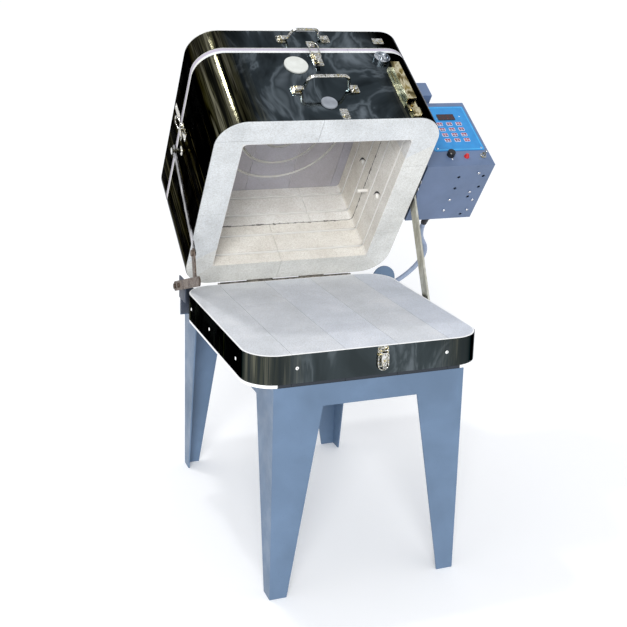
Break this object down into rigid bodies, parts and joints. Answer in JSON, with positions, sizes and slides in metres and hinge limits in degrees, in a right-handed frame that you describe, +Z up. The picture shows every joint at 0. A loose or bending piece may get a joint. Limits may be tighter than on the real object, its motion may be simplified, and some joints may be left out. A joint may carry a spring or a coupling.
{
  "type": "clamshell glass fusing kiln",
  "caption": "Square firebrick glass kiln in a polished steel jacket, tipped open on its back hinge over a slab base, on a painted four-legged stand, with a side control box.",
  "frame": {"origin": "on the floor under the centre of the square base slab", "axes": "+X to the kiln's right, +Y to its hinge side at the back, +Z up"},
  "size_m": [0.7355, 0.7754, 1.1267],
  "materials": {
    "stand_paint": "satin",
    "box_paint": "satin",
    "mirror_steel": "polished",
    "firebrick": "matte",
    "plug_ceramic": "matte",
    "element_wire": "matte",
    "chrome_hardware": "polished",
    "hinge_steel": "satin",
    "dark_steel": "satin",
    "carrier_steel": "satin",
    "keypad_blue": "satin",
    "key_white": "satin",
    "display_red": "gloss",
    "knob_black": "gloss",
    "lamp_red": "gloss",
    "board_green": "satin",
    "cord_grey": "matte",
    "plug_black": "matte"
  },
  "bodies": {
    "stand": {"leg_front_left": "stand_paint", "leg_front_right": "stand_paint", "leg_rear_left": "stand_paint", "leg_rear_right": "stand_paint", "top_frame": "stand_paint", "stand_deck": "stand_paint", "base_floor_bricks": "firebrick", "base_jacket": "mirror_steel", "base_latch_plate": "chrome_hardware", "base_hinge": "hinge_steel", "hinge_carrier_right": "stand_paint", "hinge_carrier_left": "carrier_steel", "rest_bracket": "dark_steel", "rest_strut": "dark_steel", "arm_guide_bracket": "dark_steel", "power_cord": "cord_grey", "cord_coil": "cord_grey", "cord_plug": "plug_black"},
    "kiln_body": {"wall_course_lower": "firebrick", "wall_course_upper": "firebrick", "body_jacket": "mirror_steel", "wall_elements": "element_wire", "wall_feedthroughs": "plug_ceramic", "body_handle": "chrome_hardware", "body_strike": "chrome_hardware", "body_hinge_leaf": "hinge_steel", "arm_bracket": "dark_steel", "rest_stud": "chrome_hardware", "interlock": "chrome_hardware", "control_box": "box_paint", "control_box_back": "box_paint", "keypad_plate": "keypad_blue", "keypad_keys": "key_white", "display_window": "display_red", "pilot_lamp": "lamp_red", "toggle_switch": "chrome_hardware", "control_board": "board_green", "cord_gland": "plug_black", "latch_plates": "chrome_hardware", "lid_hinge_lower": "hinge_steel"},
    "lid": {"lid_bricks": "firebrick", "lid_jacket": "mirror_steel", "lid_element": "element_wire", "lid_handle": "chrome_hardware", "lid_strikes": "chrome_hardware", "lid_terminal_box": "box_paint", "lid_hinge_leaf": "hinge_steel"},
    "base_latch_lever_body": {"base_latch_lever": "chrome_hardware"},
    "base_latch_loop_body": {"base_latch_loop": "chrome_hardware"},
    "lid_latch_lever_body": {"lid_latch_lever": "chrome_hardware"},
    "lid_latch_loop_body": {"lid_latch_loop": "chrome_hardware"},
    "side_latch_lever_body": {"side_latch_lever": "chrome_hardware"},
    "side_latch_loop_body": {"side_latch_loop": "chrome_hardware"},
    "upper_peephole_plug_body": {"upper_peephole_plug": "plug_ceramic"},
    "lower_peephole_plug_body": {"lower_peephole_plug": "plug_ceramic"},
    "selector_knob_body": {"selector_knob": "knob_black"},
    "toggle_lever_body": {"toggle_lever": "chrome_hardware"},
    "prop_arm_body": {"prop_arm": "dark_steel"},
    "arm_guide_body": {"arm_guide": "dark_steel"}
  },
  "joints": [
    {"name": "clamshell_hinge", "type": "hinge", "parent": "stand", "child": "kiln_body", "pos_m": [0, 0.2625, 0.521], "axis": [-1, 0, 0], "range_deg": [-54.64, 0], "deforming": ["power_cord"]},
    {"name": "lid_hinge", "type": "hinge", "parent": "kiln_body", "child": "lid", "pos_m": [0, 0.44991, 0.65399], "axis": [-1, 0, 0], "range_deg": [0, 90]},
    {"name": "prop_arm_pivot", "type": "hinge", "parent": "kiln_body", "child": "prop_arm_body", "pos_m": [0.266, 0.13294, 0.73764], "axis": [-1, 0, 0], "range_deg": [0, 27.32]},
    {"name": "arm_guide_swivel", "type": "hinge", "parent": "stand", "child": "arm_guide_body", "pos_m": [0.266, 0.0157, 0.468], "axis": [-1, 0, 0], "range_deg": [-27.32, 0]},
    {"name": "base_latch_swing", "type": "hinge", "parent": "stand", "child": "base_latch_lever_body", "pos_m": [0.0225, -0.2635, 0.514], "axis": [-1, 0, 0], "range_deg": [0, 90]},
    {"name": "base_loop_swing", "type": "hinge", "parent": "base_latch_lever_body", "child": "base_latch_loop_body", "pos_m": [0.0225, -0.2617, 0.506], "axis": [1, 0, 0], "range_deg": [-180, 0]},
    {"name": "lid_latch_swing", "type": "hinge", "parent": "kiln_body", "child": "lid_latch_lever_body", "pos_m": [0.011, 0.13017, 1.07208], "axis": [-1, 0, 0], "range_deg": [0, 120]},
    {"name": "lid_loop_swing", "type": "hinge", "parent": "lid_latch_lever_body", "child": "lid_latch_loop_body", "pos_m": [0.011, 0.12469, 1.06598], "axis": [-1, 0, 0], "range_deg": [-120, 0]},
    {"name": "side_latch_swing", "type": "hinge", "parent": "kiln_body", "child": "side_latch_lever_body", "pos_m": [-0.2635, 0.25373, 0.89796], "axis": [0, 0.5787, -0.8155], "range_deg": [0, 120]},
    {"name": "side_loop_swing", "type": "hinge", "parent": "side_latch_lever_body", "child": "side_latch_loop_body", "pos_m": [-0.2617, 0.24721, 0.89333], "axis": [0, 0.5787, -0.8155], "range_deg": [-120, 0]},
    {"name": "upper_plug_pull", "type": "slide", "parent": "kiln_body", "child": "upper_peephole_plug_body", "axis": [0, -0.5787, 0.8155], "range_m": [0, 0.08]},
    {"name": "lower_plug_pull", "type": "slide", "parent": "kiln_body", "child": "lower_peephole_plug_body", "axis": [0, -0.5787, 0.8155], "range_m": [0, 0.08]},
    {"name": "selector_turn", "type": "hinge", "parent": "kiln_body", "child": "selector_knob_body", "pos_m": [0.3475, 0.1073, 0.8382], "axis": [0, -0.5787, 0.8155], "range_deg": [-135, 135]},
    {"name": "toggle_tip", "type": "hinge", "parent": "kiln_body", "child": "toggle_lever_body", "pos_m": [0.4315, 0.10237, 0.83409], "axis": [-1, 0, 0], "range_deg": [0, 20]}
  ],
  "couplings": [
    {"joint": "prop_arm_pivot", "follows": "clamshell_hinge", "ratio": -0.5},
    {"joint": "arm_guide_swivel", "follows": "clamshell_hinge", "ratio": 0.5},
    {"joint": "lid_loop_swing", "follows": "lid_latch_swing", "ratio": -1},
    {"joint": "side_loop_swing", "follows": "side_latch_swing", "ratio": -1}
  ]
}
